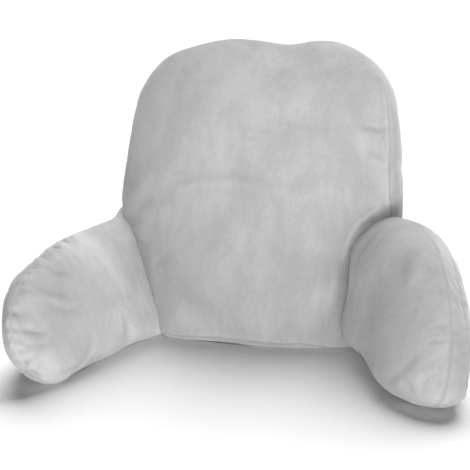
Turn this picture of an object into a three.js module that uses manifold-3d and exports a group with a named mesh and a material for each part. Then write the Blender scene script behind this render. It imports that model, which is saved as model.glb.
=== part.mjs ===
// A backrest pillow with two arms: a leaning back section and two splayed arm sections, each
// a stuffed form sewn from a face panel, a boxing strip and a rear panel, standing on its base.
// Millimetres, +Z up, +Y towards the rear, origin on the floor at the middle of the bounding box.
import * as THREE from "three";
import { LoftGeometry } from "three/addons/geometries/LoftGeometry.js";
import { mergeVertices } from "three/addons/utils/BufferGeometryUtils.js";
import Module from "manifold-3d";

const wasm = await Module();
wasm.setup();

// Back section
const FRONT_LEAN = 15; // degrees that the face leans rearwards
const REAR_LEAN = 7.5;
const BASE_DEPTH = 172; // face seam to rear seam on the floor
const FACE_CROWN = 30; // how far the face panel stands proud of its seam
const REAR_CROWN = 26;
const BACK_SWELL = 15; // how far the boxing bulges between its two seams
const SEAT_HALF_WIDTH = 172; // middle of the back to an arm's seam corner on the floor
const FOOT_BOW = 24; // how far the bottom face seam bows forward between the arms
const FOOT_BOW_HEIGHT = 190;

// Arm sections
const ARM_LENGTH = 300; // seam corner to the front, where the root and front values below apply
const ARM_SWELL = 10;
const OUTER_LEAN = 5;

// Shared
const SEAM_GAP = 0.4; // clearance between two sections that are sewn to each other
const ROUND_POINTS = 60; // points round each ring
const PANEL_RINGS = [0.08, 0.3, 0.5, 0.66, 0.79, 0.89, 0.955, 1];
const BOXING_RINGS = [0.12, 0.3, 0.5, 0.7, 0.88];
const CROWN_POWER = 3.2; // higher is flatter in the middle and rounder at the seam
const CROWN_ROOT = 1.7;
const SWELL_POWER = 0.6;
const WELD = 1e-3;

// Seams of the back. A row is a point of both seams: x and up on the face seam, rearX and
// rearUp on the rear seam, going round from the right foot over the top.
const BACK_SEAMS = [
  { x: 160, up: 4, rearX: 204, rearUp: 4 },
  { x: 180, up: 32, rearX: 220, rearUp: 32 },
  { x: 198, up: 108, rearX: 226, rearUp: 108 },
  { x: 215, up: 205, rearX: 229, rearUp: 205 },
  { x: 212, up: 284, rearX: 222, rearUp: 282 },
  { x: 207, up: 354, rearX: 215, rearUp: 351 },
  { x: 195, up: 414, rearX: 200, rearUp: 410 },
  { x: 161, up: 462, rearX: 163, rearUp: 457 },
  { x: 115, up: 487, rearX: 115, rearUp: 481 },
  { x: 71, up: 490, rearX: 71, rearUp: 485 },
  { x: 23, up: 480, rearX: 23, rearUp: 477 },
  { x: -29, up: 486, rearX: -29, rearUp: 481 },
  { x: -84, up: 488, rearX: -84, rearUp: 483 },
  { x: -142, up: 477, rearX: -140, rearUp: 472 },
  { x: -192, up: 454, rearX: -188, rearUp: 449 },
  { x: -224, up: 410, rearX: -220, rearUp: 406 },
  { x: -238, up: 347, rearX: -235, rearUp: 344 },
  { x: -245, up: 276, rearX: -244, rearUp: 274 },
  { x: -243, up: 205, rearX: -250, rearUp: 205 },
  { x: -207, up: 108, rearX: -240, rearUp: 108 },
  { x: -181, up: 32, rearX: -230, rearUp: 32 },
  { x: -160, up: 4, rearX: -212, rearUp: 4 },
  { x: -80, up: 4, rearX: -100, rearUp: 4 },
  { x: 0, up: 3, rearX: 0, rearUp: 4 },
  { x: 80, up: 4, rearX: 100, rearUp: 4 },
];

// Seams of each arm, going round from the root over the floor, up the front and back over the
// top: along and up on the inner seam, outerAlong and outerUp on the outer seam.
const LEFT_SEAMS = [
  { along: -30, up: 4, outerAlong: -95, outerUp: 4 },
  { along: 80, up: 4, outerAlong: 40, outerUp: 4 },
  { along: 158, up: 4, outerAlong: 133, outerUp: 4 },
  { along: 229, up: 3, outerAlong: 209, outerUp: 3 },
  { along: 276, up: 6, outerAlong: 257, outerUp: 6 },
  { along: 320, up: 51, outerAlong: 307, outerUp: 50 },
  { along: 325, up: 117, outerAlong: 315, outerUp: 110 },
  { along: 289, up: 161, outerAlong: 279, outerUp: 149 },
  { along: 222, up: 182, outerAlong: 210, outerUp: 164 },
  { along: 136, up: 192, outerAlong: 117, outerUp: 170 },
  { along: 34, up: 193, outerAlong: 4, outerUp: 168 },
  { along: -65, up: 189, outerAlong: -110, outerUp: 163 },
  { along: -45, up: 110, outerAlong: -105, outerUp: 95 },
];
const RIGHT_SEAMS = [
  { along: -30, up: 4, outerAlong: -95, outerUp: 4 },
  { along: 80, up: 4, outerAlong: 40, outerUp: 4 },
  { along: 150, up: 4, outerAlong: 125, outerUp: 4 },
  { along: 208, up: 3, outerAlong: 188, outerUp: 3 },
  { along: 262, up: 5, outerAlong: 242, outerUp: 5 },
  { along: 307, up: 27, outerAlong: 292, outerUp: 25 },
  { along: 303, up: 76, outerAlong: 293, outerUp: 68 },
  { along: 270, up: 134, outerAlong: 260, outerUp: 120 },
  { along: 213, up: 190, outerAlong: 201, outerUp: 171 },
  { along: 136, up: 228, outerAlong: 117, outerUp: 206 },
  { along: 30, up: 230, outerAlong: 0, outerUp: 204 },
  { along: -61, up: 203, outerAlong: -106, outerUp: 176 },
  { along: -45, up: 110, outerAlong: -105, outerUp: 95 },
];

// Each arm's own set: degrees of splay and of inner lean, how far its seams stand outside the
// seam corner at the root and at the front, and how far its two panels bulge.
const ARM_LEFT = {
  side: -1,
  seams: LEFT_SEAMS,
  splay: 19,
  leanAtRoot: 25,
  leanAtFront: 16,
  innerAtRoot: 15,
  innerAtFront: 39,
  outerAtRoot: 118,
  outerAtFront: 88,
  innerCrown: 43,
  outerCrown: 40,
};
const ARM_RIGHT = {
  side: 1,
  seams: RIGHT_SEAMS,
  splay: 20,
  leanAtRoot: 9,
  leanAtFront: 15,
  innerAtRoot: 26,
  innerAtFront: 47,
  outerAtRoot: 111,
  outerAtFront: 97,
  innerCrown: 68,
  outerCrown: 22,
};

const slope = (degrees) => Math.tan(THREE.MathUtils.degToRad(degrees));
const mix = THREE.MathUtils.lerp;

// Points round a closed smooth curve through the rows' two named columns.
function seamCurve(rows, across, up) {
  const knots = rows.map((row) => new THREE.Vector3(row[across], row[up], 0));
  const curve = new THREE.CatmullRomCurve3(knots, true, "catmullrom", 0.5);
  return Array.from({ length: ROUND_POINTS }, (_, i) => curve.getPoint(i / ROUND_POINTS));
}

// How full a panel is at a share of the way from its middle to its seam: 1 in the middle, 0 there.
function fullness(reach) {
  return (1 - reach ** CROWN_POWER) ** (1 / CROWN_ROOT);
}

// Rings of a stuffed section, from the middle of its face, over the boxing, to the middle of
// its rear. place(face, rear, across, proud, swell) gives the point a share across the boxing.
function sectionRings(faceSeam, rearSeam, place) {
  const middleOf = (points) =>
    points.reduce((sum, p) => sum.add(p), new THREE.Vector3()).divideScalar(points.length);
  const faceMiddle = middleOf(faceSeam);
  const rearMiddle = middleOf(rearSeam);
  const ring = (reach, across, proud, swell) =>
    faceSeam.map((facePoint, i) => {
      const face = faceMiddle.clone().lerp(facePoint, reach);
      const rear = rearMiddle.clone().lerp(rearSeam[i], reach);
      const outwards = facePoint.clone().sub(faceMiddle).setLength(swell);
      return place(face, rear, across, proud, outwards);
    });
  return [
    ...PANEL_RINGS.map((reach) => ring(reach, 0, -fullness(reach), 0)),
    ...BOXING_RINGS.map((across) => ring(1, across, 0, (4 * across * (1 - across)) ** SWELL_POWER)),
    ...PANEL_RINGS.toReversed().map((reach) => ring(reach, 1, fullness(reach), 0)),
  ];
}

// A closed solid of the rings, grown by a clearance and pressed flat where it meets the floor.
function solidOfRings(rings, grow = 0) {
  const loft = new LoftGeometry(rings, { capStart: true, capEnd: true });
  const bare = new THREE.BufferGeometry();
  bare.setAttribute("position", loft.getAttribute("position"));
  bare.setIndex(loft.index);
  const welded = mergeVertices(bare, WELD);
  welded.computeVertexNormals();
  const { position, normal } = welded.attributes;
  const point = new THREE.Vector3();
  const outwards = new THREE.Vector3();
  for (let i = 0; i < position.count; i++) {
    outwards.fromBufferAttribute(normal, i);
    point.fromBufferAttribute(position, i).addScaledVector(outwards, grow);
    position.setXYZ(i, point.x, point.y, Math.max(point.z, 0));
  }
  return new wasm.Manifold(
    new wasm.Mesh({
      numProp: 3,
      vertProperties: position.array,
      triVerts: new Uint32Array(welded.index.array),
    }),
  );
}

// The back, grown by a clearance all round.
function backSolid(grow) {
  const faceSeam = seamCurve(BACK_SEAMS, "x", "up");
  const rearSeam = seamCurve(BACK_SEAMS, "rearX", "rearUp");
  const place = (face, rear, across, proud, swell) => {
    const low = Math.max(0, 1 - face.y / FOOT_BOW_HEIGHT) ** 2;
    const bow = FOOT_BOW * low * Math.max(0, 1 - (face.x / SEAT_HALF_WIDTH) ** 2);
    const faceY = face.y * slope(FRONT_LEAN) - bow;
    const rearY = BASE_DEPTH + rear.y * slope(REAR_LEAN);
    const crown = proud < 0 ? FACE_CROWN : REAR_CROWN;
    return new THREE.Vector3(
      mix(face.x, rear.x, across) + swell.x * BACK_SWELL,
      mix(faceY, rearY, across) + proud * crown,
      mix(face.y, rear.y, across) + swell.y * BACK_SWELL,
    );
  };
  const rings = sectionRings(faceSeam, rearSeam, place);
  return solidOfRings(
    rings.map((ring) => ring.toReversed()),
    grow,
  );
}

// One arm, its root running on into the back.
function armSolid(arm) {
  const innerSeam = seamCurve(arm.seams, "along", "up");
  const outerSeam = seamCurve(arm.seams, "outerAlong", "outerUp");
  const splay = THREE.MathUtils.degToRad(arm.splay);
  const place = (inner, outer, across, proud, swell) => {
    const share = inner.x / ARM_LENGTH;
    const lean = mix(arm.leanAtRoot, arm.leanAtFront, share);
    const innerOut = mix(arm.innerAtRoot, arm.innerAtFront, share) + inner.y * slope(lean);
    const outerShare = (outer.x / ARM_LENGTH) ** 2;
    const outerOut = mix(arm.outerAtRoot, arm.outerAtFront, outerShare) + outer.y * slope(OUTER_LEAN);
    const crown = proud < 0 ? arm.innerCrown : arm.outerCrown;
    const along = mix(inner.x, outer.x, across) + swell.x * ARM_SWELL;
    const out = mix(innerOut, outerOut, across) + proud * crown;
    return new THREE.Vector3(
      arm.side * (SEAT_HALF_WIDTH + along * Math.sin(splay) + out * Math.cos(splay)),
      -along * Math.cos(splay) + out * Math.sin(splay),
      mix(inner.y, outer.y, across) + swell.y * ARM_SWELL,
    );
  };
  const rings = sectionRings(innerSeam, outerSeam, place);
  return solidOfRings(arm.side > 0 ? rings.map((ring) => ring.toReversed()) : rings);
}

// The arm without what would lie inside the back.
function armAgainst(back, arm) {
  const bodies = armSolid(arm).subtract(back).decompose();
  return bodies.sort((a, b) => b.volume() - a.volume())[0];
}

function meshOf(name, solid, material) {
  const { vertProperties, triVerts } = solid.getMesh();
  const geometry = new THREE.BufferGeometry();
  geometry.setAttribute("position", new THREE.BufferAttribute(vertProperties, 3));
  geometry.setIndex(new THREE.BufferAttribute(triVerts, 1));
  const mesh = new THREE.Mesh(geometry, material);
  mesh.name = name;
  return mesh;
}

const plush = new THREE.MeshStandardMaterial({ color: 0xb4b4b4, roughness: 0.95, metalness: 0 });

const pillow = new THREE.Group();
const grownBack = backSolid(SEAM_GAP);
pillow.add(meshOf("back", backSolid(0), plush));
pillow.add(meshOf("arm_left", armAgainst(grownBack, ARM_LEFT), plush));
pillow.add(meshOf("arm_right", armAgainst(grownBack, ARM_RIGHT), plush));

// The origin goes to the middle of the footprint of the bounding box.
const middle = new THREE.Box3().setFromObject(pillow).getCenter(new THREE.Vector3());
pillow.position.set(-middle.x, -middle.y, 0);

export default pillow;
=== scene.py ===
import math

import bpy
import numpy as np
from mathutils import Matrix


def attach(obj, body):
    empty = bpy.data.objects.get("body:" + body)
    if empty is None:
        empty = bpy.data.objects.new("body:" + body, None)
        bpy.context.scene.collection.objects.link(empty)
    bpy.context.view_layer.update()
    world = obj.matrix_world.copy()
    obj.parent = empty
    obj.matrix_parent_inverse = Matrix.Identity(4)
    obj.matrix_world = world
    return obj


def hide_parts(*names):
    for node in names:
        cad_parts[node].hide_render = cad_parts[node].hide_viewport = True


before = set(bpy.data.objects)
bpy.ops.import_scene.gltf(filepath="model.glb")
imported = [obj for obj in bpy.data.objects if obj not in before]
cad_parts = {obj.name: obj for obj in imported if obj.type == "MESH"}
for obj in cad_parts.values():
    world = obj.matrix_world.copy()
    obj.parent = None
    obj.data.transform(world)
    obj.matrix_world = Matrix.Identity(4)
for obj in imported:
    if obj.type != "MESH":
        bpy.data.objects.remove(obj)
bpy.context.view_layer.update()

scene = bpy.context.scene

# The photographer's view: a long lens, a little to the right of the pillow's middle and above
# it, looking down on the seat between the two arms.
VIEW_TURN = math.radians(10)
VIEW_TILT = math.radians(17)
VIEW_DISTANCE = 2.6
VIEW_TARGET = np.array([-0.0406, 0.0699, 0.1796])
VIEW_LENS = 113.8
VIEW_SENSOR = 36
VIEW_REACH = 50

toward_lens = np.array([
    math.sin(VIEW_TURN) * math.cos(VIEW_TILT),
    -math.cos(VIEW_TURN) * math.cos(VIEW_TILT),
    math.sin(VIEW_TILT),
])
view = bpy.data.cameras.new("view")
view.lens = VIEW_LENS
view.sensor_width = VIEW_SENSOR
view.clip_end = VIEW_REACH
viewer = bpy.data.objects.new("view", view)
viewer.location = VIEW_TARGET + toward_lens * VIEW_DISTANCE
viewer.rotation_euler = (math.pi / 2 - VIEW_TILT, 0, VIEW_TURN)
scene.collection.objects.link(viewer)
scene.camera = viewer

# The studio: a plain white floor that runs on out of sight, a broad soft light high behind the
# pillow that whitens the floor, two wide low ones in front, a weak one above them for the
# shoulders, and a dim white room all round.
FLOOR_HALF = 12.0
FLOOR_DROP = 0.0003
FLOOR_WHITE = 0.95
ROOM_LIGHT = 0.045
HIGH_LIGHT = 4.9
HIGH_LIGHT_FROM = (0.0, 0.92, 1.0)
HIGH_LIGHT_SPREAD = math.radians(57)
# Name, place, aim, width and height, watts and spread in degrees.
KEY_LIGHT = ("key_light", (1.2, -2.65, 0.13), (0, 0, 0.3), (1.4, 0.16), 69, 180)
FILL_LIGHT = ("fill_light", (-0.6, -2.7, 0.15), (0, 0, 0.3), (1.4, 0.2), 16, 180)
TOP_LIGHT = ("top_light", (0.4, -2.2, 1.8), (0.1, 0.1, 0.58), (0.6, 0.6), 0.7, 20)

corners = FLOOR_HALF * np.array([[-1, -1], [1, -1], [1, 1], [-1, 1]])
floor_mesh = bpy.data.meshes.new("floor")
floor_mesh.from_pydata(
    [(x, y, -FLOOR_DROP) for x, y in corners], [], [(0, 1, 2, 3)])
floor = bpy.data.objects.new("floor", floor_mesh)
scene.collection.objects.link(floor)
paper = bpy.data.materials.new("white_paper")
paper.use_nodes = True
paper_surface = paper.node_tree.nodes["Principled BSDF"]
paper_surface.inputs["Base Color"].default_value = (FLOOR_WHITE, FLOOR_WHITE, FLOOR_WHITE, 1)
paper_surface.inputs["Roughness"].default_value = 1.0
paper_surface.inputs["Specular IOR Level"].default_value = 0.0
floor_mesh.materials.append(paper)


def hang(lamp, at, to):
    """Hangs a lamp so that it shines from one point to another: it is tilted by the angle
    between that line and the vertical, and turned by the line's heading."""
    stand = bpy.data.objects.new(lamp.name, lamp)
    line = np.array(at) - np.array(to)
    stand.location = at
    stand.rotation_euler = (
        math.atan2(math.hypot(line[0], line[1]), line[2]), 0, math.atan2(line[0], -line[1]))
    scene.collection.objects.link(stand)


high_light = bpy.data.lights.new("high_light", "SUN")
high_light.energy = HIGH_LIGHT
high_light.angle = HIGH_LIGHT_SPREAD
hang(high_light, HIGH_LIGHT_FROM, (0, 0, 0))
for name, place, aim, size, watts, spread in (KEY_LIGHT, FILL_LIGHT, TOP_LIGHT):
    front_light = bpy.data.lights.new(name, "AREA")
    front_light.shape = "RECTANGLE"
    front_light.size, front_light.size_y = size
    front_light.energy = watts
    front_light.spread = math.radians(spread)
    hang(front_light, place, aim)

room = bpy.data.worlds.new("white_room")
room.use_nodes = True
room.node_tree.nodes["Background"].inputs["Color"].default_value = (1, 1, 1, 1)
room.node_tree.nodes["Background"].inputs["Strength"].default_value = ROOM_LIGHT
scene.world = room
scene.view_settings.view_transform = "Standard"

# The back: a filled cushion of plush, sewn from a face panel, a boxing strip and a rear panel,
# its face leaning rearwards. The two seams are gathered a little, so the cloth puckers there.
MM = 0.001
ORIGIN = np.array([5.064, 22.189, 0.0])  # the seat's middle, from the middle of the footprint
FACE_SLOPE = math.tan(math.radians(15))
REAR_SLOPE = math.tan(math.radians(7.5))
BASE_DEPTH = 172
FACE_CROWN = 30
REAR_CROWN = 26
BACK_SWELL = 15
SEAT_HALF_WIDTH = 172
FOOT_BOW = 24
FOOT_BOW_HEIGHT = 190
HEM_DROP, HEM_ROLL, HEM_REACH = 9, 4, 2.5  # the roll of cloth below the seam at the foot
HEM_TOP = 60
CROWN_POWER = 3.2
CROWN_ROOT = 1.7
SWELL_POWER = 0.6
REAR_SEWN = 0.94  # share of the way to the rear edge at which the rear seam is sewn
FAR_AWAY = 1e3
GATHER_WIDTH = 4.5
GATHER_FLARE = 0.8  # how much wider at its length
GATHER_LEAN = 0.5
GATHER_DEPTHS = (0.35, 1)  # least and most shares of the depth, and of the length
GATHER_LENGTHS = (0.6, 1.5)
GATHER_PLACES = (0.2, 0.8)  # within its share of the seam
GATHER_END = 3  # in lengths
SEAM_STIFFNESS = 14.0
SEAM_CROWDING = 1.5  # above 1, the rows of the mesh lie closer beside a seam
STRIP_CROWDING = 0.35
WALK_POINTS = 4001
STRAIN_LOSS, LEAST_STRAIN = 1.2, 0.1
SEAM_CLEAR = 3.0
TINY = 1e-9
CLOTH_QUALITY = 5
CLOTH_PRESSURE = 4
CLOTH_MASS = 0.15
CLOTH_STRETCH = 12
CLOTH_SHEAR = 4
CLOTH_BENDING = 0.3
CLOTH_FRAMES = 20
SLOW_STEPS = 120
GROOVE_DEPTH = 1.7
GROOVE_WIDTH = 2.2
ROLL_HEIGHT = 0.9
ROLL_PLACE = 6.0
ROLL_WIDTH = 4.0
EASED_WIDTH = 3.5
EASED_STEPS = 3
LUMP_HEIGHT = 1.1
LUMP_SPAN = 130
LUMP_SPANS = (0.7, 1.6)  # least and most shares of the span
LUMP_WAVES = 24
SWELL_CAP = 2.5  # how far the slow swell may move a point
PILE_ROUGHNESS, PILE_GLOSS = 0.95, 0.12
PILE_SHEEN, SHEEN_ROUGHNESS = 0.3, 0.45
PILE_BUMP, PILE_BUMP_HEIGHT = 0.5, 0.0012
CLUMPS_STAND, FIBRES_STAND = 0.7, 0.3
NAP_PATCHES, NAP_STREAKS, NAP_CLUMPS = 0.64, 0.2, 0.16
PATCH_NOISE = ((1, 1, 0.8), 9, 3, 0.6)  # stretch, scale, detail and twist
STREAK_NOISE = ((1, 1, 0.22), 60, 3, 0.3)
CLUMP_NOISE = ((1, 1, 0.6), 210, 4, 0)
FIBRE_NOISE = ((1, 1, 1), 900, 2, 0)
RELIEF_SHADE = 0.08  # painted shade in valleys and painted highlight on ridges, for each millimetre
RELIEF_LEAST, RELIEF_MOST = -4.5, 3.0
NAP_TONES = ((0.36, 0.328), (0.64, 0.41))
# The painted light beside each arm's joint with the back fades out between these two places.
JOINT_START = 0.11  # metres forward of the middle
JOINT_STOP = 0.27
BACK_CELLS = 76
BACK_STRIPS = 30

# A row is a point of the body's two edges, x and height on the front edge and on the rear one,
# and then the share of the way between them at which the face seam is sewn.
BACK_SEAMS = [
    (160, 8, 204, 4, 0.02), (180, 32, 220, 32, 0.05), (198, 108, 226, 108, 0.1),
    (215, 205, 229, 205, 0.1), (212, 284, 222, 282, 0.08), (207, 354, 215, 351, 0.1),
    (195, 414, 200, 410, 0.16), (161, 462, 163, 457, 0.5), (115, 487, 115, 481, 0.74),
    (71, 490, 71, 485, 0.78), (23, 480, 23, 477, 0.78), (-29, 486, -29, 481, 0.78),
    (-84, 488, -84, 483, 0.78), (-142, 477, -140, 472, 0.74), (-192, 454, -188, 449, 0.65),
    (-224, 410, -220, 406, 0.55), (-238, 347, -235, 344, 0.5), (-245, 276, -244, 274, 0.42),
    (-243, 205, -250, 205, 0.3), (-207, 108, -240, 108, 0.15), (-181, 32, -230, 32, 0.05),
    (-160, 8, -212, 4, 0.0), (-80, 9, -100, 4, 0.0), (0, 9, 0, 4, 0.0), (80, 9, 100, 4, 0.0),
]


def seam_points(rows, columns, shares):
    """Points on the closed smooth curve through two columns of the rows. With p0 to p3 the
    knots round a span and f the share of it: half of 2 p1 + (p2 - p0) f +
    (2 p0 - 5 p1 + 4 p2 - p3) f squared + (3 p1 - p0 - 3 p2 + p3) f cubed."""
    knots = np.asarray(rows, float)[:, columns]
    spot = np.mod(shares, 1) * len(knots)
    span = np.floor(spot).astype(int)
    f = (spot - span)[..., None]
    p0, p1, p2, p3 = (knots[(span + k) % len(knots)] for k in (-1, 0, 1, 2))
    return 0.5 * (2 * p1 + (p2 - p0) * f + (2 * p0 - 5 * p1 + 4 * p2 - p3) * f**2
                  + (3 * p1 - p0 - 3 * p2 + p3) * f**3)


def even_shares(rows, turn):
    """Where on the knots a share of the round lies, when both seams together are walked at an
    even pace."""
    fine = np.linspace(0, 1, WALK_POINTS)
    both = np.hstack([seam_points(rows, [0, 1], fine), seam_points(rows, [2, 3], fine)])
    steps = np.linalg.norm(np.diff(both, axis=0), axis=1)
    walked = np.concatenate([[0], np.cumsum(steps)])
    return np.interp(np.mod(turn, 1) * walked[-1], walked, fine)


def section_grid(cells, strips):
    """The mesh of a boxed cushion before it has a shape: two square panels of cells by cells
    and a strip round them. With m the larger of a panel point's two lane numbers, its reach is
    1 less a power of 1 - m, and its turn is where that square is crossed. A strip point has
    reach 1 and a share across, which is an even step less a sine wave, so that the steps are
    short beside the seams."""
    lane = np.linspace(-1, 1, cells + 1)
    a, b = (lanes.ravel() for lanes in np.meshgrid(lane, lane, indexing="ij"))
    size = np.maximum(abs(a), abs(b))
    sideways = abs(a) >= abs(b)
    turn = np.where(
        sideways,
        np.where(a >= 0, 0, 4) + b / np.where(a == 0, 1, a),
        np.where(b >= 0, 2, 6) - a / np.where(b == 0, 1, b)) / 8
    reach = 1 - (1 - size)**SEAM_CROWDING
    per_panel = len(a)
    rim = 4 * cells
    edge = np.flatnonzero(size > 1 - TINY)
    edge = edge[np.argsort(np.round(turn[edge] * rim).astype(int) % rim)]
    steps = np.arange(1, strips) / strips
    steps = steps - STRIP_CROWDING * np.sin(2 * np.pi * steps) / (2 * np.pi)
    grid = {
        "reach": np.concatenate([reach, np.ones(rim * (strips - 1)), reach]),
        "turn": np.concatenate([turn, np.tile(np.arange(rim) / rim, strips - 1), turn]) % 1,
        "across": np.concatenate(
            [np.zeros(per_panel), np.repeat(steps, rim), np.ones(per_panel)]),
        "panel": per_panel, "rim": rim, "strips": strips, "cells": cells, "edge": edge,
    }
    ids = np.arange(per_panel).reshape(cells + 1, cells + 1)
    quads = np.stack([ids[:-1, :-1], ids[1:, :-1], ids[1:, 1:], ids[:-1, 1:]], -1).reshape(-1, 4)
    rear_start = per_panel + rim * (strips - 1)
    rings = np.vstack([
        edge,
        (per_panel + np.arange(rim * (strips - 1))).reshape(strips - 1, rim),
        rear_start + edge])
    after = np.roll(rings, -1, axis=1)
    walls = np.stack([rings[:-1], after[:-1], after[1:], rings[1:]], -1).reshape(-1, 4)
    grid["faces"] = np.vstack([quads[:, ::-1], walls, rear_start + quads])
    grid["rings"] = rings
    return grid


def stuffed_section(grid, rows, place):
    """Every point of a stuffed section. A strip point is pushed outwards by a power of
    4 s (1 - s), with s its share across the body, and the strip starts at the sewn share. A
    panel point lies at its reach r from the panel's middle to its seam; with fullness a root of
    1 - r to a power, it is proud by the crown times fullness, and lies back from the panel's
    plane by what the seam does times 1 - fullness. The face seam's strain is 1 less the sewn
    share times a factor."""
    knot = even_shares(rows, grid["turn"])
    loop = even_shares(rows, np.arange(grid["rim"]) / grid["rim"])
    reach, across = grid["reach"][:, None], grid["across"][:, None]
    front, back_edge = seam_points(rows, [0, 1], knot), seam_points(rows, [2, 3], knot)
    front_middle = seam_points(rows, [0, 1], loop).mean(0)
    back_middle = seam_points(rows, [2, 3], loop).mean(0)
    outwards = front - front_middle
    outwards /= np.linalg.norm(outwards, axis=1)[:, None]
    sewn = seam_points(rows, [4], knot)
    grid["strain"] = np.clip(1 - STRAIN_LOSS * sewn[:, 0], LEAST_STRAIN, 1)
    first, last = np.clip(sewn, 0, 1), np.full_like(sewn, REAR_SEWN)
    body = np.clip(first + (last - first) * across, 0, 1)
    points = place(front, back_edge, body, outwards * (4 * body * (1 - body)) ** SWELL_POWER, 0)
    fullness = (1 - reach**CROWN_POWER) ** (1 / CROWN_ROOT)
    grid["spot"] = np.empty((len(knot), 2))
    grid["inset"] = np.zeros(len(knot))
    for side, zone in ((-1, across[:, 0] == 0), (1, across[:, 0] == 1)):
        r, full = reach[zone], fullness[zone]
        seam = points[zone]
        middle = front_middle if side < 0 else back_middle
        edge = (front if side < 0 else back_edge)[zone]
        swell = (4 * body[zone] * (1 - body[zone])) ** SWELL_POWER * outwards[zone]
        flat = np.full_like(r, 0.0 if side < 0 else 1.0)
        plane = place(edge, edge, flat, swell, 0)
        spot = middle + (edge - middle) * r
        inside = place(spot, spot, flat, swell * r, side * full)
        points[zone] = inside + (seam - plane) * (1 - full)
        grid["spot"][zone] = spot
        grid["inset"][zone] = np.linalg.norm(points[zone] - seam, axis=1)
    strip = (across[:, 0] > 0) & (across[:, 0] < 1)
    grid["spot"][strip] = front[strip]
    points[:, 2] = np.maximum(points[:, 2], 0)
    return points


def place_back(face, rear, across, swell, proud):
    """A point of the back: the face leans by its height times a slope and bows forward at its
    foot, the rear leans by less, and a strip point lies between them by its share across. Just
    below the seam at the foot the strip drops to the floor as 1 less an exponential, and rolls
    forward as p times an exponential of 1 - p, with p the way passed in reaches."""
    low = np.maximum(0, 1 - face[:, 1:] / FOOT_BOW_HEIGHT) ** 2
    bow = FOOT_BOW * low * np.maximum(0, 1 - (face[:, :1] / SEAT_HALF_WIDTH) ** 2)
    face_y = face[:, 1:] * FACE_SLOPE - bow
    rear_y = BASE_DEPTH + rear[:, 1:] * REAR_SLOPE
    crown = np.where(proud < 0, FACE_CROWN, REAR_CROWN)
    passed = across * BASE_DEPTH / HEM_REACH
    hem = np.maximum(0, 1 - face[:, 1:] / HEM_TOP) * np.sqrt(
        np.maximum(0, 1 - (face[:, :1] / SEAT_HALF_WIDTH) ** 2))
    roll = HEM_ROLL * hem * passed * np.exp(1 - passed)
    drop = HEM_DROP * hem * (1 - np.exp(-passed))
    return np.hstack([
        face[:, :1] * (1 - across) + rear[:, :1] * across + swell[:, :1] * BACK_SWELL,
        face_y * (1 - across) + rear_y * across + proud * crown - roll,
        face[:, 1:] * (1 - across) + rear[:, 1:] * across + swell[:, 1:] * BACK_SWELL - drop,
    ]) + ORIGIN


def neighbours_mean(values, faces, times):
    """The values after each has gone, so many times, to the mean of itself and its neighbours
    along the edges of the faces."""
    start = np.concatenate([faces[:, k] for k in range(4)])
    end = np.concatenate([faces[:, (k + 1) % 4] for k in range(4)])
    start, end = np.concatenate([start, end]), np.concatenate([end, start])
    count = 1 + np.bincount(start, minlength=len(values))
    for _ in range(times):
        total = np.stack([np.bincount(start, values[end, k], len(values)) for k in range(3)], 1)
        values = (values + total) / count[:, None]
    return values


def stuff(points, faces, held, spare):
    """How far each point moves when the sewn cover is blown up as cloth. The held points, on
    the seams, stay where they are; the cloth is cut larger by the spare share, so that it
    gathers beside them."""
    cover = bpy.data.objects.new("cover", sewn_mesh("cover", points, faces))
    scene.collection.objects.link(cover)
    group = cover.vertex_groups.new(name="held")
    group.add(np.flatnonzero(held).tolist(), 1.0, "REPLACE")
    cloth = cover.modifiers.new("cloth", "CLOTH")
    set_up = cloth.settings
    set_up.quality = CLOTH_QUALITY
    set_up.mass = CLOTH_MASS
    set_up.tension_stiffness = set_up.compression_stiffness = CLOTH_STRETCH
    set_up.shear_stiffness = CLOTH_SHEAR
    set_up.bending_stiffness = CLOTH_BENDING
    set_up.use_pressure = True
    set_up.uniform_pressure_force = CLOTH_PRESSURE
    set_up.shrink_min = -spare
    set_up.vertex_group_mass = "held"
    set_up.effector_weights.gravity = 0
    cloth.collision_settings.use_collision = False
    for moment in range(1, CLOTH_FRAMES + 1):
        scene.frame_set(moment)
    blown = cover.evaluated_get(bpy.context.evaluated_depsgraph_get()).data
    found = np.empty(len(points) * 3, np.float32)
    blown.vertices.foreach_get("co", found)
    bpy.data.objects.remove(cover)
    scene.frame_set(1)
    return found.reshape(-1, 3) / MM - points


def halved(values, axis, closed):
    """The rows with a new one between each two: a sixteenth of 9 times the two next to it less
    the two beyond. An open edge repeats its last row."""
    rows = np.moveaxis(values, axis, 0)
    if closed:
        before, after, beyond = (np.roll(rows, k, 0) for k in (1, -1, -2))
        between = (9 * (rows + after) - before - beyond) / 16
        out = np.empty((2 * len(rows),) + rows.shape[1:])
    else:
        wide = np.concatenate([rows[:1], rows, rows[-1:]])
        between = (9 * (wide[1:-2] + wide[2:-1]) - wide[:-3] - wide[3:]) / 16
        out = np.empty((2 * len(rows) - 1,) + rows.shape[1:])
    out[0::2] = rows
    out[1::2] = between
    return np.moveaxis(out, 0, axis)


def onto_fine(moves, coarse, fine):
    """The moves of the coarse section's points on the fine one, which has a row between each
    two of its rows."""
    out = np.zeros((len(fine["reach"]), 3))
    for start, fine_start in ((0, 0), (len(coarse["reach"]) - coarse["panel"],
                                       len(fine["reach"]) - fine["panel"])):
        side = coarse["cells"] + 1
        panel = moves[start:start + coarse["panel"]].reshape(side, side, 3)
        panel = halved(halved(panel, 0, False), 1, False)
        out[fine_start:fine_start + fine["panel"]] = panel.reshape(-1, 3)
    out[fine["rings"]] = halved(halved(moves[coarse["rings"]], 0, False), 1, True)
    return out


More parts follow.
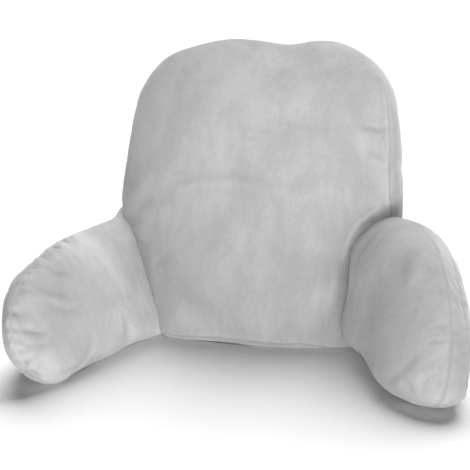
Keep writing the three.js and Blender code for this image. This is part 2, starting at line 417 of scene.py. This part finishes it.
def outward_normals(points, faces):
    """Unit normals at the points: the sum of the crossed diagonals of the faces round each,
    turned to point out of the closed form."""
    quad = points[faces]
    crossed = np.cross(quad[:, 2] - quad[:, 0], quad[:, 3] - quad[:, 1])
    total = np.zeros_like(points)
    for k in range(4):
        total += np.stack(
            [np.bincount(faces[:, k], crossed[:, j], len(points)) for j in range(3)], 1)
    if np.einsum("ij,ij->i", quad[:, 0], crossed).sum() < 0:
        total = -total
    return total / np.maximum(np.linalg.norm(total, axis=1), TINY)[:, None]


def seam_distances(grid, points):
    """Millimetres from each point to its section's face seam and to its rear seam: straight to
    the seam on a panel, and along the strip on the strip."""
    rings = grid["rings"]
    steps = np.linalg.norm(np.diff(points[rings], axis=0), axis=2)
    walked = np.concatenate([np.zeros((1, steps.shape[1])), np.cumsum(steps, axis=0)])
    to_face, to_rear = np.full((2, len(points)), FAR_AWAY)
    to_face[rings], to_rear[rings] = walked, walked[-1] - walked
    for away, side in ((to_face, 0), (to_rear, 1)):
        panel = grid["across"] == side
        away[panel] = grid["inset"][panel]
    return to_face, to_rear


def sewn_in(grid, away, pull):
    """How far the seams are drawn in: the groove's depth times the bell curve of the distance
    to the nearer seam, less a low roll of cloth beside it. Both are times the seam's own pull,
    and less where the face seam is sewn further back."""
    near = np.minimum(*away)
    roll = ROLL_HEIGHT * np.exp(-((near - ROLL_PLACE) / ROLL_WIDTH) ** 2)
    drawn = roll - GROOVE_DEPTH * np.exp(-(near / GROOVE_WIDTH) ** 2)
    return drawn * np.where(away[0] < away[1], grid["strain"] * pull[0], pull[1])


def gathers(grid, points, away, start, stop, pitch, depth, length, strip_length, seed):
    """How far the thread draws the cloth in beside a seam, between two shares of the round: a
    row of short valleys across the seam, each the bell curve of the distance along the seam,
    growing wider and fading with the distance from it, by one length on the panel and by
    another on the boxing strip."""
    draw = np.random.default_rng(seed)
    ring = points[grid["rings"][0]]
    around = np.linalg.norm(np.roll(ring, -1, 0) - ring, axis=1).sum()
    count = int((stop - start) * around / pitch)
    centre = start * around + (np.arange(count) + draw.uniform(*GATHER_PLACES, count)) * pitch
    deep = depth * draw.uniform(*GATHER_DEPTHS, count)
    long = length * draw.uniform(*GATHER_LENGTHS, count)
    lean = draw.uniform(-GATHER_LEAN, GATHER_LEAN, count)
    moved = np.zeros(len(points))
    near = np.flatnonzero(away < GATHER_END * max(length, strip_length))
    from_seam = away[near][:, None]
    along = (grid["turn"][near] * around)[:, None] - centre - lean * from_seam
    along = (along + around / 2) % around - around / 2
    strip = (grid["across"][near] > 0) & (grid["across"][near] < 1)
    long = np.where(strip[:, None], strip_length, long)
    wide = GATHER_WIDTH * (1 + GATHER_FLARE * from_seam / long)
    valley = np.exp(-(along / wide) ** 2 - (from_seam / long) ** 2)
    moved[near] = -(deep * valley * (1 - np.exp(-(from_seam / SEAM_CLEAR) ** 2))).sum(1)
    return moved


def drawn_folds(grid, away, table):
    """How far the panel's drawn folds stand: for each, its height times the bell curve of the
    distance from the panel's own point to the fold's line, fading towards the line's ends."""
    spot, moved = grid["spot"], np.zeros(len(away))
    for height, width, line in table:
        line = np.asarray(line, float)
        spans = np.linalg.norm(np.diff(line, axis=0), axis=1)
        passed = np.concatenate([[0], np.cumsum(spans)])
        best, share = np.full(len(spot), FAR_AWAY), np.zeros(len(spot))
        for k, (tail, head) in enumerate(zip(line[:-1], line[1:])):
            on = np.clip((spot - tail) @ (head - tail) / spans[k] ** 2, 0, 1)
            off = np.linalg.norm(spot - tail - on[:, None] * (head - tail), axis=1)
            share = np.where(off < best, (passed[k] + on * spans[k]) / passed[-1], share)
            best = np.minimum(best, off)
        moved += height * np.exp(-(best / width) ** 2) * (1 - abs(2 * share - 1) ** 3)
    return moved * (grid["across"] == 0) * (1 - np.exp(-(away / SEAM_CLEAR) ** 2))


def lumps(points, height, span, seed):
    """How far uneven filling pushes the cover out: the sum of slow sine waves of random
    heading and phase, about a span long, over the root of half their number, times the
    height."""
    draw = np.random.default_rng(seed)
    heading = draw.normal(size=(LUMP_WAVES, 3))
    heading /= np.linalg.norm(heading, axis=1)[:, None]
    pace = 2 * np.pi / (span * draw.uniform(*LUMP_SPANS, LUMP_WAVES))
    phase = draw.uniform(0, 2 * np.pi, LUMP_WAVES)
    waves = np.sin(points @ (heading * pace[:, None]).T + phase).sum(1)
    return height * waves / math.sqrt(LUMP_WAVES / 2)


def finished_section(grid, points, look):
    """The section with the lumps of its filling, its seams, gathers and folds, pressed flat
    where it stands. Its relief is the height of all these but the lumps. The cloth is eased at
    the seams, where it goes by a bell curve to its neighbours' mean."""
    out = outward_normals(points, grid["faces"])
    away = seam_distances(grid, points)
    moved = sewn_in(grid, away, look["pull"]) + drawn_folds(grid, away[0], look["folds"])
    for side, row in look["gathers"]:
        moved += gathers(grid, points, away[side], *row)
    grid["relief"] = moved
    moved = moved + lumps(points, LUMP_HEIGHT, LUMP_SPAN, look["seed"])
    points = points + out * moved[:, None]
    beside = np.exp(-(np.minimum(*away) / EASED_WIDTH) ** 2)[:, None]
    points += (neighbours_mean(points, grid["faces"], EASED_STEPS) - points) * beside
    points[:, 2] = np.maximum(points[:, 2], 0)
    return points


def filled_section(cells, strips, rows, place, look):
    """A stuffed section on a fine mesh. The blown cover's slow swell, the moves' mean over a
    few hands' breadths, is capped, and a share of its quick part, the folds, is added. Both
    vanish at the seams as 1 less a bell curve, and evenly towards a calm end, if there is one."""
    fine = section_grid(cells * 2, strips * 2)
    points = stuffed_section(fine, rows, place)
    coarse = section_grid(cells, strips)
    start = stuffed_section(coarse, rows, place)
    held = np.zeros(len(start), bool)
    held[coarse["rings"][[0, -1]]] = True
    moves = stuff(start, coarse["faces"], held, look["spare"])
    slow = neighbours_mean(moves, coarse["faces"], SLOW_STEPS)
    quick = neighbours_mean(moves, coarse["faces"], 1) - slow
    length = np.linalg.norm(slow, axis=1)[:, None]
    slow = slow * np.minimum(1, SWELL_CAP / np.maximum(length, TINY))
    moves = onto_fine(slow + quick * look["fold_share"], coarse, fine)
    near = np.minimum(*seam_distances(fine, points))
    moves *= (1 - np.exp(-(near / SEAM_STIFFNESS) ** 2))[:, None]
    if "calm" in look:
        moves *= np.clip((fine["spot"][:, :1] - look["calm"][0]) / look["calm"][1], 0, 1)
    points = points + moves
    return fine, finished_section(fine, points, look)


def sewn_mesh(name, points, faces, relief=None):
    """A smooth mesh of the points, in metres, with its faces turned outwards: they are turned
    over where the sum of corner . (next x across) over the faces is negative. The relief goes
    with it as an attribute."""
    quad = points[faces]
    volume = np.einsum("ij,ij->i", quad[:, 0], np.cross(quad[:, 1] - quad[:, 0],
                                                        quad[:, 3] - quad[:, 0])).sum()
    if volume < 0:
        faces = faces[:, ::-1]
    mesh = bpy.data.meshes.new(name)
    mesh.from_pydata((points * MM).tolist(), [], faces.tolist())
    mesh.polygons.foreach_set("use_smooth", np.ones(len(faces), bool))
    if relief is not None:
        mesh.attributes.new("relief", "FLOAT", "POINT").data.foreach_set(
            "value", relief.astype(np.float32))
    mesh.update()
    return mesh


def add_piece(name, mesh, material):
    """An object of the mesh in the scene, with its material."""
    piece = bpy.data.objects.new(name, mesh)
    mesh.materials.clear()
    mesh.materials.append(material)
    scene.collection.objects.link(piece)
    return piece


def brushed_pile():
    """The nap of short grey pile, as a node group that every section of the cover shares. The
    colour runs between a dark and a light grey by a weighted sum of three noises: broad patches
    of brushed nap, upright streaks, and clumps of pile. It is multiplied by the section's tone,
    which paints an arm lighter or darker by how light falls on it; by more on ridges and less in
    valleys, as painted highlight and painted shade; and beside a joint by a smooth step from the
    joint's painted light factor down to 1 along a heading, as painted light against the shade
    there. The height is that of the clumps and the single fibres."""
    group = bpy.data.node_groups.new("brushed_pile", "ShaderNodeTree")
    nodes, links = group.nodes, group.links
    for label, kind in (("Tone", "Float"), ("Heading", "Vector"), ("Start", "Float"),
                        ("Stop", "Float"), ("Joint light", "Float")):
        group.interface.new_socket(label, in_out="INPUT", socket_type="NodeSocket" + kind)
    for label, kind in (("Color", "Color"), ("Height", "Float")):
        group.interface.new_socket(label, in_out="OUTPUT", socket_type="NodeSocket" + kind)
    given, made = nodes.new("NodeGroupInput"), nodes.new("NodeGroupOutput")
    where = nodes.new("ShaderNodeTexCoord")

    def noise(stretch, scale, detail, twist):
        """Noise on the piece's own metres, with each axis times its stretch."""
        placed = nodes.new("ShaderNodeMapping")
        placed.inputs["Scale"].default_value = stretch
        pattern = nodes.new("ShaderNodeTexNoise")
        pattern.inputs["Scale"].default_value = scale
        pattern.inputs["Detail"].default_value = detail
        pattern.inputs["Distortion"].default_value = twist
        links.new(where.outputs["Object"], placed.inputs["Vector"])
        links.new(placed.outputs["Vector"], pattern.inputs["Vector"])
        return pattern.outputs["Fac"]

    def weighed(value, weight, rest=None):
        """The value times its weight, plus the rest."""
        sum_node = nodes.new("ShaderNodeMath")
        sum_node.operation = "MULTIPLY_ADD"
        links.new(value, sum_node.inputs[0])
        sum_node.inputs[1].default_value = weight
        if rest is None:
            sum_node.inputs[2].default_value = 0.0
        else:
            links.new(rest, sum_node.inputs[2])
        return sum_node.outputs[0]

    def scaled(colour, factor):
        """The colour times the factor."""
        product = nodes.new("ShaderNodeVectorMath")
        product.operation = "SCALE"
        links.new(colour, product.inputs[0])
        links.new(factor, product.inputs["Scale"])
        return product.outputs[0]

    patches, streaks = noise(*PATCH_NOISE), noise(*STREAK_NOISE)
    clumps, fibres = noise(*CLUMP_NOISE), noise(*FIBRE_NOISE)
    nap = weighed(patches, NAP_PATCHES, weighed(streaks, NAP_STREAKS, weighed(clumps, NAP_CLUMPS)))
    greys = nodes.new("ShaderNodeValToRGB")
    greys.color_ramp.interpolation = "EASE"
    for stop, (position, grey) in zip(greys.color_ramp.elements, NAP_TONES):
        stop.position = position
        stop.color = (grey, grey, grey, 1)
    links.new(nap, greys.inputs["Fac"])
    colour = scaled(greys.outputs["Color"], given.outputs["Tone"])

    # Painted shade and highlight: the colour is darker in the valleys of the relief and lighter on
    # its ridges.
    relief = nodes.new("ShaderNodeAttribute")
    relief.attribute_name = "relief"
    crease_shade = nodes.new("ShaderNodeMapRange")
    crease_shade.inputs["From Min"].default_value = RELIEF_LEAST
    crease_shade.inputs["From Max"].default_value = RELIEF_MOST
    crease_shade.inputs["To Min"].default_value = 1 + RELIEF_SHADE * RELIEF_LEAST
    crease_shade.inputs["To Max"].default_value = 1 + RELIEF_SHADE * RELIEF_MOST
    links.new(relief.outputs["Fac"], crease_shade.inputs["Value"])
    colour = scaled(colour, crease_shade.outputs["Result"])

    # Painted light: the colour is lighter beside the arm's joint with the back, against the shade
    # that falls there.
    along = nodes.new("ShaderNodeVectorMath")
    along.operation = "DOT_PRODUCT"
    links.new(where.outputs["Object"], along.inputs[0])
    links.new(given.outputs["Heading"], along.inputs[1])
    joint_light_step = nodes.new("ShaderNodeMapRange")
    joint_light_step.interpolation_type = "SMOOTHSTEP"
    links.new(along.outputs["Value"], joint_light_step.inputs["Value"])
    links.new(given.outputs["Start"], joint_light_step.inputs["From Min"])
    links.new(given.outputs["Stop"], joint_light_step.inputs["From Max"])
    links.new(given.outputs["Joint light"], joint_light_step.inputs["To Min"])
    joint_light_step.inputs["To Max"].default_value = 1.0
    colour = scaled(colour, joint_light_step.outputs["Result"])

    links.new(colour, made.inputs["Color"])
    pile = weighed(clumps, CLUMPS_STAND, weighed(fibres, FIBRES_STAND))
    links.new(pile, made.inputs["Height"])
    return group


nap_of_pile = brushed_pile()


def plush(name, painted_tone, heading=(0, 0, 0), joint_light=1.0):
    """Short grey pile: its colour and its bump come from the nap, with the section's tone, which
    paints light and shade, and, along a heading, the joint's painted light; it is rough, with the
    sheen of its fibre ends."""
    material = bpy.data.materials.new(name)
    material.use_nodes = True
    nodes, links = material.node_tree.nodes, material.node_tree.links
    surface = nodes["Principled BSDF"]
    surface.inputs["Roughness"].default_value = PILE_ROUGHNESS
    surface.inputs["Specular IOR Level"].default_value = PILE_GLOSS
    surface.inputs["Sheen Weight"].default_value = PILE_SHEEN
    surface.inputs["Sheen Roughness"].default_value = SHEEN_ROUGHNESS
    nap = nodes.new("ShaderNodeGroup")
    nap.node_tree = nap_of_pile
    for label, value in (("Tone", painted_tone), ("Heading", heading), ("Start", JOINT_START),
                         ("Stop", JOINT_STOP), ("Joint light", joint_light)):
        nap.inputs[label].default_value = value
    bump = nodes.new("ShaderNodeBump")
    bump.inputs["Strength"].default_value = PILE_BUMP
    bump.inputs["Distance"].default_value = PILE_BUMP_HEIGHT
    links.new(nap.outputs["Color"], surface.inputs["Base Color"])
    links.new(nap.outputs["Height"], bump.inputs["Height"])
    links.new(bump.outputs["Normal"], surface.inputs["Normal"])
    return material


# Gathers are (seam, (from, to, pitch, depth, length, length on the strip, seed)), with the face
# seam 0 and the rear seam 1; folds are (height, width, line on the face in x and height).
BACK_LOOK = {
    "seed": 3, "spare": 0.02, "fold_share": 0.6, "pull": (1.0, 1.0),
    "gathers": [
        (0, (0.0, 1.0, 44, 1.0, 20, 12, 31)),
        (1, (0.0, 1.0, 26, 1.8, 18, 14, 32)),
    ],
    "folds": [
        (-0.9, 6, [(-165, 255), (-126, 272), (-94, 281), (-44, 284), (-5, 278), (30, 266)]),
        (0.6, 6, [(-155, 248), (-115, 263), (-80, 270), (-40, 273), (5, 266)]),
        (-0.6, 4, [(-171, 265), (-136, 283), (-94, 291), (-36, 292)]),
        (-0.8, 4, [(-4, 374), (35, 371), (75, 365), (117, 362)]),
        (-0.5, 4, [(-30, 359), (11, 356), (60, 356)]),
        (-2.4, 4.5, [(212, 364), (188, 364), (160, 369)]),
        (-1.2, 6, [(170, 329), (191, 324), (208, 314)]),
        (3.5, 5, [(206, 239), (185, 231), (166, 218), (154, 202), (146, 180), (142, 155)]),
        (-2.5, 4, [(208, 231), (194, 224), (177, 210), (162, 192), (153, 172), (149, 150)]),
        (9.0, 9, [(214, 218), (203, 212), (188, 197), (176, 179), (168, 158)]),
        (-1.4, 6, [(145, 152), (141, 115), (143, 73)]),
        (1.4, 6, [(132, 160), (127, 110), (122, 60)]),
        (1.2, 7, [(112, 120), (100, 75)]),
        (-1.0, 5, [(-206, 126), (-187, 141), (-164, 152)]),
        (-1.2, 6, [(-224, 168), (-204, 160), (-184, 157)]),
    ],
}
back_grid, back_points = filled_section(
    BACK_CELLS, BACK_STRIPS, BACK_SEAMS, place_back, BACK_LOOK)
back = add_piece(
    "back_cushion",
    sewn_mesh("back_cushion", back_points, back_grid["faces"], back_grid["relief"]),
    plush("grey_plush", 1.0))
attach(back, "root")
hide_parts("back")

# The left arm: a filled cushion of its own, boxed like the back and sewn to its side, splayed
# outwards and leaning away from the seat.
ARM_LENGTH = 300
ARM_SWELL = 10
OUTER_SLOPE = math.tan(math.radians(5))
ARM_CELLS = 58
ARM_STRIPS = 22
SEAM_GAP = 0.5

# A row is a point of both edges, distance along the arm and height on the inner edge and on the
# outer one, and then the share of the way between them at which the inner seam is sewn.
LEFT_SEAMS = [
    (-50, 4, -100, 4, 0.05), (80, 4, 40, 4, 0.05), (158, 4, 133, 4, 0.05),
    (229, 3, 209, 3, 0.05), (276, 6, 257, 6, 0.06), (320, 51, 307, 50, 0.08),
    (325, 117, 315, 110, 0.08), (289, 161, 279, 149, 0.08), (222, 185, 210, 168, 0.1),
    (136, 195, 117, 174, 0.2), (34, 193, 4, 169, 0.3), (-30, 190, -60, 166, 0.3),
    (-78, 197, -115, 173, 0.3), (-60, 110, -110, 95, 0.2),
]
# The tone paints the left arm lighter, as light falls on it, and the joint light factor paints
# light beside the back.
LEFT_SET = {
    "side": -1, "splay": 19, "lean": (28.5, 16), "inner": (16, 39), "outer": (118, 88),
    "inner_crown": 43, "outer_crown": 40, "belly": (0, 170, 90, 60), "painted_tone": 1.17, "joint_light": 1.27,
    "seed": 5, "spare": 0.035, "fold_share": 0.8, "calm": (20, 80), "pull": (0.5, 0.5),
    "gathers": [
        (0, (0.33, 0.66, 20, 5.5, 13, 11, 51)),
        (0, (0.35, 0.65, 34, 1.8, 50, 6, 52)),
        (1, (0.0, 1.0, 24, 1.6, 18, 12, 53)),
    ],
    "folds": [
        (0.6, 8, [(104, 161), (84, 127), (68, 110)]),
        (0.6, 6, [(117, 90), (117, 49)]),
        (-1.6, 5, [(268, 168), (259, 159), (247, 150), (221, 137), (199, 123)]),
        (1.2, 6, [(276, 160), (257, 143), (231, 124), (194, 115)]),
        (-1.2, 6, [(257, 134), (231, 115), (194, 105)]),
        (-1.6, 4, [(316, 109), (294, 97), (275, 92)]),
        (1.0, 5, [(312, 117), (290, 107)]),
        (-1.2, 4, [(317, 85), (303, 80), (285, 78)]),
        (-1.2, 5, [(224, 172), (207, 165), (179, 160)]),
        (-1.0, 5, [(146, 182), (150, 170), (147, 158)]),
        (-2.0, 4, [(205, 15), (240, 24), (268, 24)]),
        (1.0, 3, [(-10, 186), (2, 169), (24, 132), (24, 77), (20, 26)]),
    ],
}


def arm_place(arm):
    """How an arm's point lies, for its set of root and front values: so far along its axis and
    so far out from it, both turned by the splay, with the inner panel leaning outwards by its
    height, less a belly that dies away as a bell curve, and the outer one set out by the square
    of the share along."""
    splay = math.radians(arm["splay"])

    def place(face, rear, across, swell, proud):
        share = face[:, :1] / ARM_LENGTH
        lean = np.radians(arm["lean"][0] * (1 - share) + arm["lean"][1] * share)
        inner = arm["inner"][0] * (1 - share) + arm["inner"][1] * share
        inner = inner + face[:, 1:] * np.tan(lean)
        depth, at, half_length, height = arm["belly"]
        inner = inner - depth * np.exp(
            -((face[:, :1] - at) / half_length) ** 2 - (face[:, 1:] / height) ** 2)
        outer_share = (rear[:, :1] / ARM_LENGTH) ** 2
        outer = arm["outer"][0] * (1 - outer_share) + arm["outer"][1] * outer_share
        outer = outer + rear[:, 1:] * OUTER_SLOPE
        crown = np.where(proud < 0, arm["inner_crown"], arm["outer_crown"])
        along = face[:, :1] * (1 - across) + rear[:, :1] * across + swell[:, :1] * ARM_SWELL
        out = inner * (1 - across) + outer * across + proud * crown
        return np.hstack([
            arm["side"] * (SEAT_HALF_WIDTH + along * math.sin(splay) + out * math.cos(splay)),
            -along * math.cos(splay) + out * math.sin(splay),
            face[:, 1:] * (1 - across) + rear[:, 1:] * across + swell[:, 1:] * ARM_SWELL,
        ]) + ORIGIN

    return place


def cut_against(mesh, other, gap):
    """The mesh without what lies inside the other one grown along its normals by the gap."""
    whole = bpy.data.objects.new("whole", mesh)
    grown = bpy.data.objects.new("grown", other.data.copy())
    for thing in (whole, grown):
        scene.collection.objects.link(thing)
    count = len(grown.data.vertices)
    co, normal = np.empty(count * 3, np.float32), np.empty(count * 3, np.float32)
    grown.data.vertices.foreach_get("co", co)
    grown.data.vertices.foreach_get("normal", normal)
    grown.data.vertices.foreach_set("co", co + normal * gap * MM)
    cut = whole.modifiers.new("cut", "BOOLEAN")
    cut.operation = "DIFFERENCE"
    cut.solver = "MANIFOLD"
    cut.object = grown
    found = bpy.data.meshes.new_from_object(
        whole.evaluated_get(bpy.context.evaluated_depsgraph_get()))
    bpy.data.objects.remove(whole)
    bpy.data.objects.remove(grown)
    found.name = mesh.name + "_cut"
    return found


def arm_piece(name, rows, arm, node):
    """An arm cushion, cut against the back's side."""
    grid, points = filled_section(ARM_CELLS, ARM_STRIPS, rows, arm_place(arm), arm)
    mesh = cut_against(
        sewn_mesh(name, points, grid["faces"], grid["relief"]), back, SEAM_GAP)
    splay = math.radians(arm["splay"])
    heading = (arm["side"] * math.sin(splay), -math.cos(splay), 0)
    piece = add_piece(name, mesh, plush(name + "_plush", arm["painted_tone"], heading, arm["joint_light"]))
    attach(piece, "root")
    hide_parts(node)


arm_piece("left_arm_cushion", LEFT_SEAMS, LEFT_SET, "arm_left")

# The right arm: cut like the left one, but fuller and standing more upright.
RIGHT_SEAMS = [
    (-50, 4, -100, 4, 0.05), (80, 4, 40, 4, 0.05), (150, 4, 125, 4, 0.05),
    (208, 3, 188, 3, 0.05), (262, 5, 242, 5, 0.04), (307, 27, 292, 25, 0.04),
    (303, 76, 293, 68, 0.04), (270, 134, 260, 120, 0.06), (213, 190, 196, 166, 0.12),
    (136, 228, 113, 202, 0.2), (30, 230, 0, 204, 0.3), (-72, 204, -110, 178, 0.3),
    (-60, 110, -110, 95, 0.2),
]
# The tone paints the right arm darker, as light falls on it, and the joint light factor paints
# light beside the back.
RIGHT_SET = {
    "side": 1, "splay": 20, "lean": (9, 15), "inner": (26, 47), "outer": (111, 97),
    "inner_crown": 68, "outer_crown": 22, "belly": (16, 192, 80, 80), "painted_tone": 0.98, "joint_light": 1.22,
    "seed": 9, "spare": 0.03, "fold_share": 0.6, "calm": (20, 80), "pull": (0.55, 0.3),
    "gathers": [
        (0, (0.38, 0.56, 24, 1.4, 12, 18, 91)),
        (1, (0.0, 1.0, 22, 2.0, 20, 14, 92)),
    ],
    "folds": [
        (-1.3, 8, [(142, 216), (159, 200), (176, 183), (185, 169)]),
        (1.2, 8, [(131, 229), (158, 215), (184, 188), (199, 166)]),
        (1.0, 6, [(107, 200), (125, 185), (146, 169)]),
        (-1.2, 3.5, [(258, 137), (270, 135)]),
        (-1.2, 3.5, [(268, 115), (282, 116)]),
        (-1.6, 7, [(272, 103), (269, 85), (264, 64), (238, 35)]),
        (-1.4, 4, [(272, 60), (282, 44), (284, 31)]),
        (1.6, 4, [(14, 222), (9, 204), (8, 183), (6, 160)]),
        (-2.4, 4, [(36, 222), (27, 209), (30, 191), (29, 174), (32, 150)]),
        (1.0, 5, [(58, 222), (55, 207), (55, 191), (52, 168)]),
    ],
}
arm_piece("right_arm_cushion", RIGHT_SEAMS, RIGHT_SET, "arm_right")
